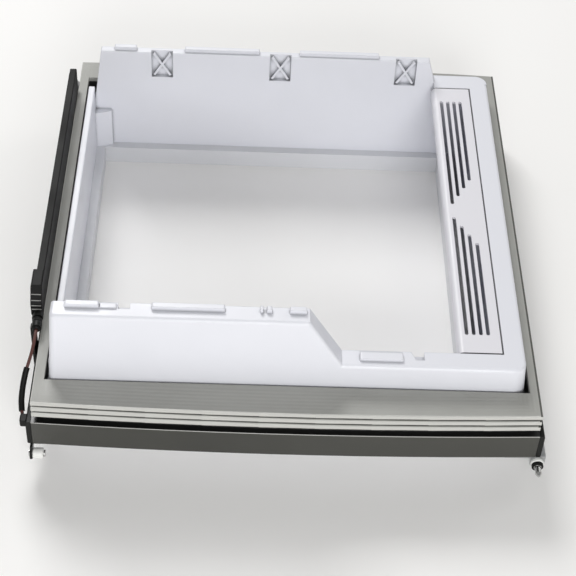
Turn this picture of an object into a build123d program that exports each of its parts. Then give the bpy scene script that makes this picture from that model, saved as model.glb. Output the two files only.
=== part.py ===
"""Inner frame of a door-in-door refrigerator leaf, lying with its sealing side up on its opening's collar.

Millimetres, +Z up, X across the leaf, Y along it from the near end to the far end. The origin is the middle
of the overall box, on the surface the frame lies on. Offsets called x and y are from the seal's middle.
"""

import os
from math import atan2, radians, tan

from build123d import *

os.makedirs("parts", exist_ok=True)

# Frame outline
frame_width = 456.0  # across the side panels
seal_depth = 483.0  # sealing outline, end to end
end_bow = 5.0  # bulge of both ends at mid width
panel_wall = 4.4
panel_gap = 1.6  # from the seal's edge to a side panel
joint_gap = 0.3  # between pieces that are laid side by side

# Levels, from the surface up
collar_height = 31.5
front_flange = 3.0
cap_height = 28.5
recess_height = 7.5
gasket_height = 19.5

# Inner liner
sheet = 2.5
end_flat = 28.5  # seal flat at the near and far walls
left_flat = 11.0
right_flat = 10.5
wall_depth = 20.0
near_wall_height = 76.0
low_wall_height = 25.3
far_wall_height = 51.5
left_rim_height = 3.0
left_rim = 6.5
near_lean = 2.0
far_lean = 11.0
right_lean = 4.0
near_left_inset = 0.4  # near wall's left end, in from the left rim
near_left_lean = 6.5
far_left_inset = 5.0  # far wall's left end, in from the left rim
far_left_lean = 10.0
step_x = 15.6  # top of the near wall's slope
step_run = 30.4
far_end_x = 152.0  # far wall's right end, at the beam
far_end_lean = 7.0
beam_margin = 22.5
duct_span = 40.0  # from the opening to the beam beyond the duct
divider_wall = 3.0
divider_slope = 17.0
corner_round = 12.0
left_round = 5.0
near_edge_round = 3.2
edge_round = 1.6
rim_round = 1.2
liner_flange = 3.0  # under the seal
liner_flange_inset = 9.0

# Rim of the near wall
near_lip_height = 4.2
near_lip_depth = 5.0
near_lip_inset = 2.5
near_lips = ((-192.0, -163.0), (-118.5, -56.5), (-26.5, -24.0), (-21.0, -16.5), (-1.5, 13.0))
near_step_height = 1.6
near_step = (-163.0, -148.0)
near_notch_x = -147.0
near_notch_width = 10.0
near_notch_depth = 7.0
near_notch_drop = 6.0
low_lip_x = 61.7
low_lip_length = 38.0
low_lip_depth = 8.0
low_lip_inset = 4.5
low_lip_height = 3.2
lip_round = 1.4
low_notch_x = 107.0
low_notch_width = 11.5
low_notch_slant = 4.0
low_notch_depth = 9.5
low_notch_drop = 6.0

# Rim and latch pockets of the far wall
far_lip_height = 4.0
far_lip_depth = 5.0
far_lips = ((-182.0, -159.0), (-109.5, -32.0), (9.5, 92.0))
pocket_x = (-133.0, -10.0, 121.0)
pocket_width = 22.0
pocket_height = 31.0
pocket_depth = 4.5
pocket_rib = 2.4
pocket_rib_length = 32.0
pocket_rib_depth = 3.6
pocket_rib_lean = 32.0

# Corner step beside the far wall
corner_step_width = 17.0
corner_step_depth = 9.0
corner_step_taper = 5.0
corner_step_below = 24.0  # under the sealing plane

# Vent cover
cover_thick = 2.6
cover_gap = 0.9
cover_edge_round = 4.8
cover_lip_drop = 10.0
cover_ledge = 5.0
cover_far_gap = 8.0  # from the far wall's face to the duct's far end
slot_width = 3.4
slot_pitch = 6.4
slot_inset = 8.8  # first slot, in from the cover's edge
slot_end_margin = 22.0
slot_middle_y = -6.3
slot_middle_gap = 9.3
slot_stagger = 11.8
slot_rows = 4

# Front frame
ledge_height = 20.0
ledge_width = 3.5
sill_width = 9.0  # the ledge on the left and far sides of the opening
collar_wall = 3.0
flange_inset = 4.0

# Gasket
seal_strip = 5.0  # flat strip that holds the magnets
seal_folds = 2  # bellows fins under the strip
fold_gap = 2.2
fold_depth = 4.2
fin_round = 0.9
seal_gap = 1.8
magnet_inset = 4.2
magnet_width = 3.6
magnet_thick = 2.6
magnet_cover = 1.2
magnet_slit = 1.6
magnet_play = 0.1
magnet_end_gap = 0.5

# End caps and their screws
cap_wall = 2.5
cap_return = 16.0
cap_shelf = 6.0
cap_edge_round = 1.8
screw_r = 2.0
screw_head_r = 4.0
screw_head = 2.4
screw_shares = (-0.79, -0.27, 0.27, 0.79)  # of the seal's half width
screw_inset = 10.0
screw_margin = 1.0  # from a screw's head to the edge beside it

# Mullion bar
bar_thick = 7.0
bar_width = 29.0
bar_lift = 4.0  # above the sealing plane
bar_overlap = 0.8  # bar over the seal's edge
bar_far_back = 56.0  # bar's far end, in from the seal's far edge
bar_near_back = 128.5  # bar's near end, in from the seal's near edge
bar_wall = 1.2
plate_thick = 0.8
heater_thick = 0.4
heater_width = 14.0
bar_cap = 7.0
peg_r = 1.6
peg_length = 4.0
pivot_rise = 4.5  # pivot above the bar's lower edge
pin_r = 1.5
pin_play = 0.05
pin_head_r = 3.0
pin_head = 1.5
housing_length = 30.0
housing_proud = 3.4
housing_foot = 1.0  # housing's lower edge above the bar's
knuckle_r = 4.6
knuckle_length = 6.0
knuckle_gap = 0.6
spring_turns = 3
spring_wire = 1.8
spring_r = 3.4
bracket_wall = 2.2
bracket_drop = 48.0  # bracket foot, below the pivot
bracket_screw_pitch = 20.0
lead_hold = 3.0  # lead inside the near knuckle
far_knuckle_length = 7.0
pin_hold = 16.0  # pin inside the housing
far_pin_hold = 5.0

# Mullion lead
lead_d = 3.0
lead_stand = 6.0  # lead's middle, off the side panel
lead_end_stand = 2.8  # the same, at the plug
sleeve_d = 5.4
sleeve_play = 0.3
sleeve_sides = 12
grommet_r = 3.4
grommet_length = 2.4
plug_length = 8.0
plug_margin = 1.4  # plug's wall round the lead
plug_end = 10.5  # plug, in from the seal's near edge
plug_z = 57.5

# Support roller on a stub axle at the near left corner
roller_r = 5.0
roller_length = 9.6
roller_edge = 0.8
roller_inset = 9.0  # roller's middle, in from the side panel's face
roller_y_out = 2.0  # axle beyond the near edge of the seal
roller_drop = 8.0  # axle below the flange
roller_clear = 1.0  # from the roller to the plate behind it
axle_r = 2.0
axle_head_r = 3.2
axle_head = 1.2
ear_r = 5.6
ear_wall = 1.8
ear_gap = 0.4
bracket_plate = 2.5
bracket_length = 26.0

# Hinge pin at the near right corner and upper hinge bush at the far right corner
hinge_edge = 1.0  # hinge axis, in from the side panel's face
hinge_drop = 8.5  # hinge axis below the flange
hinge_ear = 3.0
hinge_ear_back = 6.0  # ear's inner face, in from the seal's edge
hinge_ear_r = 6.8
hinge_bush_r = 6.0
hinge_bush_flange = 2.6
hinge_bush_sleeve_r = 4.8
hinge_bush_tail = 1.5
hinge_pin_r = 3.0
hinge_shank_r = 3.4  # pin inside the bush and the collar
hinge_pin_head_r = 4.6
hinge_pin_head = 2.4
hinge_pin_length = 10.0
hinge_tip = 3.0
hinge_tip_r = 1.2
hinge_collar_r = 5.3
hinge_collar = 3.0
hinge_collar_edge = 0.6
hinge_bore_r = 3.2
hinge_bore_length = 18.0
hinge_plate_length = 30.0
hinge_plate_in = 30.0  # plate's reach towards the middle
hinge_screw_back = 22.0
fit_gap = 0.1  # around turned pieces that don't move

# Worked out from the driving sizes
half_w = frame_width / 2 - panel_wall - panel_gap
half_d = seal_depth / 2
cap_z = collar_height + front_flange
cap_top = cap_z + cap_height
seat_z = cap_top + recess_height
seal_z = seat_z + gasket_height
base_z = seat_z - liner_flange

near_out = -(half_d - end_flat)
near_in = near_out + wall_depth
far_out = half_d - end_flat
far_in = far_out - wall_depth
left_out = -(half_w - left_flat)
left_in = left_out + left_rim
right_out = half_w - right_flat
duct_out = right_out - beam_margin
divider_x = duct_out - duct_span
duct_far = far_in - cover_far_gap
near_top = seal_z + near_wall_height
low_top = seal_z + low_wall_height
far_top = seal_z + far_wall_height
left_top = seal_z + left_rim_height
cover_seat = low_top - cover_thick
divider_foot = divider_x + divider_wall + divider_slope
skirt_x0 = left_in - sheet
skirt_x1 = duct_out + sheet

screw_spread = tuple(share * half_w for share in screw_shares)
panel_in = frame_width / 2 - panel_wall
cap_half = panel_in - joint_gap
panel_step = half_w - liner_flange_inset + joint_gap

bar_far_y = half_d - bar_far_back
bar_near_y = -half_d + bar_near_back
bar_in = -half_w + bar_overlap
bar_out = bar_in - bar_thick
bar_z = seal_z + bar_lift
pivot_x = (bar_in + bar_out) / 2
pivot_z = bar_z + pivot_rise
housing_out = bar_out - housing_proud
housing_near = bar_near_y - housing_length
knuckle_1 = housing_near - knuckle_gap
spring_far = knuckle_1 - knuckle_length
spring_length = spring_turns * spring_wire
knuckle_2 = spring_far - spring_length - 2 * knuckle_gap
bracket_near = knuckle_2 - knuckle_length
far_knuckle = bar_far_y + knuckle_gap
far_bracket_y = far_knuckle - bracket_screw_pitch
bracket_out = -frame_width / 2 - bracket_wall
bracket_foot = pivot_z - bracket_drop
bracket_screw_z = cap_top - edge_round - screw_head_r
screw_edge = screw_head_r + screw_margin
near_bracket_screws = (bracket_near + screw_edge, knuckle_1 - screw_edge)
far_bracket_screws = (far_bracket_y + screw_edge, far_knuckle + far_knuckle_length - screw_edge)

roller_x = -frame_width / 2 + roller_inset
roller_y = -half_d - roller_y_out
roller_z = collar_height - roller_drop
hinge_x = frame_width / 2 - hinge_edge
hinge_z = collar_height - hinge_drop
hinge_ear_y = half_d - hinge_ear_back + hinge_ear
hinge_tip_y = hinge_ear_y + hinge_bush_flange + hinge_pin_length + hinge_tip
hinge_screw_x = (hinge_x - hinge_ear_r - screw_edge, hinge_x - hinge_plate_in + screw_edge)
hinge_screw_y = half_d - hinge_screw_back
roller_back = roller_y + roller_r + roller_clear
roller_screws_y = (roller_back + screw_edge, roller_back + bracket_length - screw_edge)
lead_x = -frame_width / 2 - lead_stand

plug_y = -half_d + plug_end
plug_proud = lead_end_stand + lead_d / 2 + plug_margin

left_reach = max(-housing_out, frame_width / 2 + plug_proud, frame_width / 2 + bracket_wall + screw_head)
right_reach = max(frame_width / 2, hinge_x + hinge_ear_r)
near_reach = hinge_tip_y
far_reach = half_d + end_bow
ring_x = (left_reach - right_reach) / 2
ring_y = (near_reach - far_reach) / 2


def level(z):
    """A horizontal plane at height z, centred on the seal."""
    return Plane((ring_x, ring_y, z))


def front(y):
    """An upright plane across the leaf at offset y, drawn in X and Z, that extrudes towards the near end."""
    return Plane((ring_x, ring_y + y, 0), x_dir=(1, 0, 0), z_dir=(0, -1, 0))


def side(x):
    """An upright plane along the leaf at offset x, drawn in Y and Z, that extrudes to the right."""
    return Plane((ring_x + x, ring_y, 0), x_dir=(0, 1, 0), z_dir=(1, 0, 0))


def spot(x, y, z):
    """A place given by its offsets from the middle of the seal."""
    return (ring_x + x, ring_y + y, z)


def slab(x0, x1, y0, y1, z0, z1, mode=Mode.ADD):
    """A block between two corners, in the part that is being built."""
    with Locations(spot((x0 + x1) / 2, (y0 + y1) / 2, (z0 + z1) / 2)):
        Box(x1 - x0, y1 - y0, z1 - z0, mode=mode)


def outline(*points):
    """A flat face with straight sides through the points."""
    with BuildSketch() as shape:
        with BuildLine():
            Polyline(*points, close=True)
        make_face()
    return shape.sketch


def bowed(w, d):
    """A face of half width w and half depth d with two bowed ends."""
    with BuildSketch() as shape:
        with BuildLine():
            ThreePointArc((-w, -d), (0, -d - end_bow), (w, -d))
            Line((w, -d), (w, d))
            ThreePointArc((w, d), (0, d + end_bow), (-w, d))
            Line((-w, d), (-w, -d))
        make_face()
    return shape.sketch


def seal_ring(inset, width):
    """A ring that follows the sealing outline, moved in by inset."""
    with BuildSketch() as shape:
        add(bowed(half_w - inset, half_d - inset))
        add(bowed(half_w - inset - width, half_d - inset - width), mode=Mode.SUBTRACT)
    return shape.sketch


def edge_y(x):
    """Distance of the bowed end's edge from the middle, at offset x."""
    return half_d + end_bow * (1 - (x / cap_half) ** 2)


def end_strip(end, inset, width, half_length):
    """A bowed strip along one end, -1 for the near one and 1 for the far one, inset from the seal's edge."""
    d0 = end * (half_d - inset)
    d1 = end * (half_d - inset - width)
    with BuildSketch() as shape:
        with BuildLine():
            ThreePointArc((-half_length, d0), (0, d0 + end * end_bow), (half_length, d0))
            Line((half_length, d0), (half_length, d1))
            ThreePointArc((half_length, d1), (0, d1 + end * end_bow), (-half_length, d1))
            Line((-half_length, d1), (-half_length, d0))
        make_face()
    return shape.sketch


def round_bar(r, start, end, mode=Mode.ADD):
    """A cylinder between two places, in the part that is being built."""
    axis = Vector(*end) - Vector(*start)
    with BuildSketch(Plane(start, z_dir=axis)) as section:
        Circle(r)
    extrude(section.sketch, amount=axis.length, mode=mode)


def screw(start, end):
    """A pan head screw whose head lies under the start and whose tip is at the end."""
    axis = (Vector(*end) - Vector(*start)).normalized()
    back = Vector(*start) - axis * screw_head
    with BuildPart() as body:
        round_bar(screw_r, start, end)
        round_bar(screw_head_r, tuple(back), start)
        rims = body.edges().filter_by(GeomType.CIRCLE).sort_by(Axis(start, tuple(axis)))
        chamfer(rims[0], screw_head / 2)
    return body.part


def write(piece, name):
    """Label a finished piece and write its file."""
    piece.label = name
    export_step(piece, f"parts/{name}.step")


# Walls of the liner, as solid forms whose faces are all moved in by the same amount


def rim_notch(x, width, slant, depth, inset):
    """Outline of a notch in the near wall's inner edge, grown by inset."""
    return outline(
        (x - inset, near_in),
        (x + slant - inset, near_in - depth - inset),
        (x + width + inset, near_in - depth - inset),
        (x + width + inset, near_in),
    )


def near_wall(inset, rounding=0):
    """The stepped near wall: its section along the leaf, trimmed to its front outline, corners rounded."""
    turn = atan2(near_wall_height - low_wall_height, step_run)
    slope = inset * tan(turn / 2)
    top = near_top - inset
    low = low_top - inset
    with BuildPart() as wall:
        with BuildSketch(side(left_out)):
            add(
                outline(
                    (near_out + inset, base_z),
                    (near_out + near_lean + inset, top),
                    (near_in - inset, top),
                    (near_in - inset, base_z),
                )
            )
        extrude(amount=right_out - left_out)
        with BuildSketch(front(near_in)):
            add(
                outline(
                    (left_out + near_left_inset + inset, base_z),
                    (left_out + near_left_inset + near_left_lean + inset, top),
                    (step_x - slope, top),
                    (step_x + step_run - slope, low),
                    (right_out - right_lean - inset, low),
                    (right_out - inset, base_z),
                )
            )
        extrude(amount=wall_depth, mode=Mode.INTERSECT)
        upright = wall.edges().filter_by(lambda e: abs(e.tangent_at(0.5).Z) > 0.9)
        fillet(upright.sort_by(Axis.X)[-2:].sort_by(Axis.Y)[0], corner_round - inset)
        fillet(upright.sort_by(Axis.X)[:2].sort_by(Axis.Y)[0], left_round - inset)
        if rounding:
            face_edges = wall.faces().sort_by(Axis.Y)[0].edges().filter_by(lambda e: e.center().Z > seal_z)
            fillet(face_edges.filter_by(lambda e: abs(e.tangent_at(0.5).X) > 0.2), rounding)
        with BuildSketch(level(low - low_notch_drop)):
            add(rim_notch(low_notch_x, low_notch_width, low_notch_slant, low_notch_depth, inset))
        extrude(amount=low_notch_drop, mode=Mode.SUBTRACT)
        with BuildSketch(level(top - near_notch_drop)):
            add(rim_notch(near_notch_x, near_notch_width, 0, near_notch_depth, inset))
        extrude(amount=near_notch_drop, mode=Mode.SUBTRACT)
    return wall.part


def far_wall(inset, rounding=0):
    """The far wall, high along the opening, as low as the beam behind it, with latch pockets in its face."""
    top = far_top - inset
    low = low_top - inset
    with BuildPart() as wall:
        with BuildSketch(side(left_out)):
            add(
                outline(
                    (far_in + inset, base_z),
                    (far_in + inset, top),
                    (far_out - far_lean - inset, top),
                    (far_out - inset, base_z),
                )
            )
        extrude(amount=right_out - left_out)
        with BuildSketch(front(far_out)):
            add(
                outline(
                    (left_out + far_left_inset + inset, base_z),
                    (left_out + far_left_inset + far_left_lean + inset, top),
                    (far_end_x - far_end_lean - inset, top),
                    (far_end_x - inset, low),
                    (right_out - right_lean - inset, low),
                    (right_out - inset, base_z),
                )
            )
        extrude(amount=wall_depth, mode=Mode.INTERSECT)
        upright = wall.edges().filter_by(lambda e: abs(e.tangent_at(0.5).Z) > 0.9)
        fillet(upright.sort_by(Axis.X)[-2:].sort_by(Axis.Y)[-1], corner_round - inset)
        if rounding:
            fillet(wall.edges().group_by(Axis.Z)[-1], rounding)
        with BuildSketch(front(far_in + pocket_depth + inset)):
            for x in pocket_x:
                with Locations((x, far_top - pocket_height / 2)):
                    Rectangle(pocket_width + 2 * inset, pocket_height + 2 * inset)
        extrude(amount=pocket_depth + inset, mode=Mode.SUBTRACT)
    return wall.part


def right_beam(inset, rounding=0):
    """The beam right of the duct, between the two end walls."""
    with BuildPart() as wall:
        with BuildSketch(front(far_in + sheet)):
            add(
                outline(
                    (duct_out + inset, base_z),
                    (duct_out + inset, low_top - inset),
                    (right_out - right_lean - inset, low_top - inset),
                    (right_out - inset, base_z),
                )
            )
        extrude(amount=far_in - near_in + 2 * sheet)
        if rounding:
            long_edges = wall.edges().filter_by(Axis.Y).group_by(Axis.Z)[-1]
            fillet(long_edges.sort_by(Axis.X)[-1], rounding)
    return wall.part


def left_bead():
    """The low bead along the left side of the opening, between the two end walls."""
    with BuildPart() as wall:
        slab(left_out, left_in, near_in - sheet, far_in + sheet, base_z, left_top)
        fillet(wall.edges().filter_by(Axis.Y).group_by(Axis.Z)[-1], rim_round)
    return wall.part


def lip(x0, x1, y0, y1, z, height):
    """A raised lip on a rim, with its two upper ends rounded, let into the wall under it."""
    with BuildPart() as raised:
        slab(x0, x1, y0, y1, z - sheet, z + height)
        fillet(raised.edges().filter_by(Axis.Y).group_by(Axis.Z)[-1], min(lip_round, (x1 - x0) / 3))
    return raised.part


# Inner liner
with BuildPart() as inner_liner:
    add(near_wall(0, near_edge_round))
    add(far_wall(0, edge_round))
    add(right_beam(0, near_edge_round))
    add(left_bead())
    with BuildSketch(level(base_z)):
        Rectangle(2 * (half_w - liner_flange_inset), 2 * (half_d - liner_flange_inset))
        with Locations(((left_in + duct_out) / 2, (near_in + far_in) / 2)):
            Rectangle(duct_out - left_in, far_in - near_in, mode=Mode.SUBTRACT)
    extrude(amount=seat_z - base_z)
    for core in (near_wall(sheet), far_wall(sheet), right_beam(sheet)):
        add(core, mode=Mode.SUBTRACT)
    # inner skirt, from the ledge of the collar up
    with BuildSketch(level(ledge_height)):
        with Locations(((left_in + duct_out) / 2, (near_in + far_in) / 2)):
            Rectangle(skirt_x1 - skirt_x0, far_in - near_in + 2 * sheet)
            Rectangle(duct_out - left_in, far_in - near_in, mode=Mode.SUBTRACT)
    extrude(amount=seat_z - ledge_height)
    # divider between the opening and the duct
    with BuildSketch(front(far_in)):
        add(
            outline(
                (divider_x + divider_wall, cover_seat),
                (divider_foot, ledge_height),
                (divider_foot + divider_wall, ledge_height),
                (divider_x + 2 * divider_wall, cover_seat),
            )
        )
    extrude(amount=far_in - near_in)
    # ledges that carry the vent cover
    slab(duct_out - cover_ledge, duct_out, near_in, far_in, cover_seat - sheet, cover_seat)
    ledge_x = divider_x + divider_wall
    slab(ledge_x, duct_out, near_in, near_in + cover_ledge, cover_seat - sheet, cover_seat)
    slab(ledge_x, duct_out, duct_far, far_in, cover_seat - sheet, low_top)
    slab(ledge_x, duct_out, duct_far - cover_ledge, duct_far, cover_seat - sheet, cover_seat)
    # corner step beside the far wall, tapered in plan
    with BuildSketch(level(ledge_height)):
        add(
            outline(
                (left_in, far_in),
                (left_in, far_in - corner_step_depth),
                (left_in + corner_step_width, far_in - corner_step_depth + corner_step_taper),
                (left_in + corner_step_width, far_in),
            )
        )
    extrude(amount=seal_z - corner_step_below - ledge_height)
    # raised lips along the two rims, and a lower step beside the first one
    near_lip_y = near_in - near_lip_inset
    for x0, x1 in near_lips:
        add(lip(x0, x1, near_lip_y - near_lip_depth, near_lip_y, near_top, near_lip_height))
    add(lip(*near_step, near_lip_y - near_lip_depth, near_lip_y, near_top, near_step_height))
    far_lip_y = far_out - far_lean - edge_round
    for x0, x1 in far_lips:
        add(lip(x0, x1, far_lip_y - far_lip_depth, far_lip_y, far_top, far_lip_height))
    low_lip_y = near_in - low_lip_inset
    low_lip_end = low_lip_x + low_lip_length
    add(lip(low_lip_x, low_lip_end, low_lip_y - low_lip_depth, low_lip_y, low_top, low_lip_height))
    # crossed ribs in the latch pockets
    with BuildSketch(front(far_in + pocket_depth)):
        for x in pocket_x:
            with Locations((x, far_top - pocket_height / 2)):
                Rectangle(pocket_rib, pocket_rib_length, rotation=-pocket_rib_lean)
                Rectangle(pocket_rib, pocket_rib_length, rotation=pocket_rib_lean)
    extrude(amount=pocket_rib_depth)
write(inner_liner.part, "inner_liner")

# Vent cover
cover_x1 = duct_out - cover_gap
cover_y0 = near_in + cover_gap
cover_y1 = duct_far - cover_gap
with BuildPart() as duct_vent_cover:
    slab(divider_x, cover_x1, cover_y0, cover_y1, cover_seat, low_top)
    lip_x = divider_x + divider_wall - joint_gap
    slab(divider_x, lip_x, cover_y0, cover_y1, low_top - cover_lip_drop, cover_seat)
    top_edges = duct_vent_cover.edges().filter_by(Axis.Y).group_by(Axis.Z)[-1]
    fillet(top_edges.sort_by(Axis.X)[0], cover_edge_round)
    with BuildSketch(level(cover_seat)):
        for row in range(slot_rows):
            x = divider_x + slot_inset + row * slot_pitch
            from_middle = slot_middle_gap + row * slot_stagger
            far_group = (slot_middle_y + from_middle, cover_y1 - slot_end_margin)
            near_group = (cover_y0 + slot_end_margin, slot_middle_y - from_middle)
            for y0, y1 in (far_group, near_group):
                with Locations((x, (y0 + y1) / 2)):
                    SlotOverall(y1 - y0, slot_width, rotation=90)
    extrude(amount=cover_thick, mode=Mode.SUBTRACT)
write(duct_vent_cover.part, "duct_vent_cover")

# Front frame: collar round the opening and the duct, and the flange under the end caps
collar_x0 = skirt_x0 - joint_gap - collar_wall
collar_x1 = skirt_x1 + joint_gap + collar_wall
collar_y = far_in + sheet + joint_gap + collar_wall
with BuildPart() as front_frame:
    with BuildSketch(level(0)):
        with Locations(((collar_x0 + collar_x1) / 2, 0)):
            RectangleRounded(collar_x1 - collar_x0, 2 * collar_y, collar_wall)
        main_opening = (left_in + sill_width, divider_foot - ledge_width, far_in - sill_width)
        duct_mouth = (divider_foot + divider_wall + ledge_width, duct_out - ledge_width, far_in - ledge_width)
        mouth_y = near_in + ledge_width
        for x0, x1, y1 in (main_opening, duct_mouth):
            with Locations(((x0 + x1) / 2, (mouth_y + y1) / 2)):
                Rectangle(x1 - x0, y1 - mouth_y, mode=Mode.SUBTRACT)
    extrude(amount=ledge_height)
    with BuildSketch(level(ledge_height)):
        with Locations(((collar_x0 + collar_x1) / 2, 0)):
            RectangleRounded(collar_x1 - collar_x0, 2 * collar_y, collar_wall)
            Rectangle(skirt_x1 - skirt_x0 + 2 * joint_gap, 2 * (collar_y - collar_wall), mode=Mode.SUBTRACT)
    extrude(amount=cap_z - ledge_height)
    with BuildSketch(level(collar_height)):
        add(bowed(frame_width / 2 - flange_inset, half_d - flange_inset))
        with Locations(((collar_x0 + collar_x1) / 2, 0)):
            Rectangle(collar_x1 - collar_x0 - collar_wall, 2 * collar_y - collar_wall, mode=Mode.SUBTRACT)
    extrude(amount=front_flange)
    with BuildSketch(level(collar_height)):
        for end in (-1, 1):
            for x in screw_spread:
                with Locations((x, end * (edge_y(x) - screw_inset))):
                    Circle(screw_r + fit_gap)
            for x in hinge_screw_x:
                with Locations((x, end * hinge_screw_y)):
                    Circle(screw_r + fit_gap)
        for y in roller_screws_y:
            with Locations((roller_x, y)):
                Circle(screw_r + fit_gap)
    extrude(amount=front_flange, mode=Mode.SUBTRACT)
write(front_frame.part, "front_frame")

# Foam that fills the frame's hollow
foam_z = cap_z + cap_wall + joint_gap
with BuildPart() as insulation_foam:
    with BuildSketch(level(foam_z)):
        add(bowed(panel_in - joint_gap, half_d - cap_wall - joint_gap))
    extrude(amount=cap_top - cap_wall - joint_gap - foam_z)
    with BuildSketch(level(foam_z)):
        Rectangle(2 * (panel_step - joint_gap), 2 * (half_d - cap_shelf - cap_wall - joint_gap))
    extrude(amount=base_z - foam_z)
    with BuildSketch(level(foam_z)):
        with Locations(((skirt_x0 + skirt_x1) / 2, 0)):
            Rectangle(skirt_x1 - skirt_x0 + 2 * joint_gap, 2 * (far_in + sheet + joint_gap))
    extrude(amount=base_z - foam_z, mode=Mode.SUBTRACT)
    for wall_form in (near_wall, far_wall, right_beam):
        add(wall_form(sheet + joint_gap))
write(insulation_foam.part, "insulation_foam")


def end_cap(end):
    """The channel along one end: outer wall, shelf, back of the recess under the seal, and a screwed foot."""
    with BuildPart() as cap:
        with BuildSketch(level(cap_z)):
            add(end_strip(end, 0, cap_wall, cap_half))
        extrude(amount=cap_height)
        with BuildSketch(level(cap_top - cap_wall)):
            add(end_strip(end, 0, cap_wall + cap_shelf, cap_half))
        extrude(amount=cap_wall)
        bows = cap.edges().filter_by(GeomType.CIRCLE).group_by(Axis.Z)[-1]
        fillet(bows.sort_by(Axis.Y)[-end], cap_edge_round)
        with BuildSketch(level(cap_top)):
            add(end_strip(end, cap_shelf, cap_wall, panel_step))
        extrude(amount=recess_height)
        with BuildSketch(level(cap_z)):
            add(end_strip(end, 0, cap_return, cap_half))
            for x in screw_spread:
                with Locations((x, end * (edge_y(x) - screw_inset))):
                    Circle(screw_r + fit_gap, mode=Mode.SUBTRACT)
        extrude(amount=cap_wall)
    return cap.part


# End caps
write(end_cap(-1), "near_end_cap")
write(end_cap(1), "far_end_cap")

# Screws that hold the end caps, from under the flange
for end, name in ((-1, "near_cap_screws"), (1, "far_cap_screws")):
    with BuildPart() as cap_screws:
        for x in screw_spread:
            y = end * (edge_y(x) - screw_inset)
            add(screw(spot(x, y, collar_height), spot(x, y, cap_z + cap_wall)))
    write(cap_screws.part, name)

# Side panels, each with the back of the recess under the seal
panel_y = half_d - cap_wall - cap_shelf - joint_gap
for hand, name in ((-1, "left_side_panel"), (1, "right_side_panel")):
    with BuildPart() as panel:
        slab(*sorted((hand * panel_in, hand * frame_width / 2)), -half_d, half_d, cap_z, cap_top)
        slab(*sorted((hand * panel_step, hand * panel_in)), -panel_y, panel_y, cap_top - cap_wall, cap_top)
        slab(*sorted((hand * panel_step, hand * (panel_step + cap_wall))), -panel_y, panel_y, cap_top, seat_z)
        fillet(panel.edges().filter_by(Axis.Y).group_by(Axis.X)[0 if hand < 0 else -1], edge_round)
        if hand < 0:
            for y in near_bracket_screws + far_bracket_screws:
                outer = spot(-frame_width / 2, y, bracket_screw_z)
                round_bar(screw_r + fit_gap, outer, spot(-panel_in, y, bracket_screw_z), Mode.SUBTRACT)
    write(panel.part, name)


def seal_fin(z, thick):
    """A fin of the seal over its whole outline, with rounded edges."""
    with BuildPart() as fin:
        with BuildSketch(level(z)):
            add(bowed(half_w, half_d))
        extrude(amount=thick)
        fillet(fin.faces().filter_by(Axis.Z).edges(), fin_round)
    return fin.part


# Seal: a flat strip over bellows fins, and the magnets' tunnel with the slit they are pushed in through
tunnel_top = seal_z - magnet_cover
tunnel_z = tunnel_top - magnet_thick - 2 * magnet_play
fold_step = (gasket_height - seal_strip) / seal_folds
with BuildPart() as door_gasket:
    with BuildSketch(level(seat_z)):
        add(bowed(half_w - fold_depth, half_d - fold_depth))
    extrude(amount=gasket_height)
    for fold in range(seal_folds):
        add(seal_fin(seat_z + fold * fold_step, fold_step - fold_gap))
    add(seal_fin(seal_z - seal_strip, seal_strip))
    with BuildSketch(level(seat_z)):
        with Locations(((left_out + right_out) / 2, (near_out + far_out) / 2)):
            Rectangle(right_out - left_out + 2 * seal_gap, far_out - near_out + 2 * seal_gap)
    extrude(amount=gasket_height, mode=Mode.SUBTRACT)
    with BuildSketch(level(tunnel_z)):
        add(seal_ring(magnet_inset - magnet_play, magnet_width + 2 * magnet_play))
    extrude(amount=tunnel_top - tunnel_z, mode=Mode.SUBTRACT)
    with BuildSketch(level(seat_z)):
        add(seal_ring(magnet_inset + (magnet_width - magnet_slit) / 2, magnet_slit))
    extrude(amount=tunnel_z - seat_z, mode=Mode.SUBTRACT)
write(door_gasket.part, "door_gasket")

magnet_reach = magnet_inset + magnet_width + magnet_end_gap
for name, x, y in (("near", 0, -1), ("far", 0, 1), ("left", -1, 0), ("right", 1, 0)):
    with BuildPart() as seal_magnet:
        with BuildSketch(level(tunnel_z + magnet_play)):
            add(seal_ring(magnet_inset, magnet_width))
            with Locations((x * half_w, y * half_d)):
                Rectangle(
                    2 * (half_w - magnet_reach) if y else 4 * magnet_reach,
                    2 * (half_d - magnet_reach) if x else 4 * magnet_reach,
                    mode=Mode.INTERSECT,
                )
        extrude(amount=magnet_thick)
    write(seal_magnet.part, f"seal_magnet_{name}")

# Mullion bar: cover, steel face, heater and insulation
bar_top = bar_z + bar_width
bar_end = bar_far_y - bar_cap
with BuildPart() as mullion_cover:
    slab(bar_out, bar_in, bar_near_y, bar_end, bar_z, bar_top)
    fillet(mullion_cover.edges().filter_by(Axis.Y).group_by(Axis.X)[-1], bar_wall)
    slab(bar_out, bar_in - bar_wall, bar_near_y, bar_end, bar_z + bar_wall, bar_top - bar_wall, Mode.SUBTRACT)
write(mullion_cover.part, "mullion_cover")

inside_z = bar_z + bar_wall + fit_gap
inside_top = bar_top - bar_wall - fit_gap
plate_in = bar_out + plate_thick
with BuildPart() as mullion_face_plate:
    slab(bar_out, plate_in, bar_near_y, bar_end, inside_z, inside_top)
write(mullion_face_plate.part, "mullion_face_plate")

heater_in = plate_in + heater_thick
heater_mid = (inside_z + inside_top) / 2
with BuildPart() as mullion_heater:
    heater_z = heater_mid - heater_width / 2
    slab(plate_in, heater_in, bar_near_y + bar_cap, bar_end - bar_cap, heater_z, heater_z + heater_width)
write(mullion_heater.part, "mullion_heater")

with BuildPart() as mullion_insulation:
    slab(heater_in, bar_in - bar_wall - fit_gap, bar_near_y, bar_end, inside_z, inside_top)
write(mullion_insulation.part, "mullion_insulation")

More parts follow.
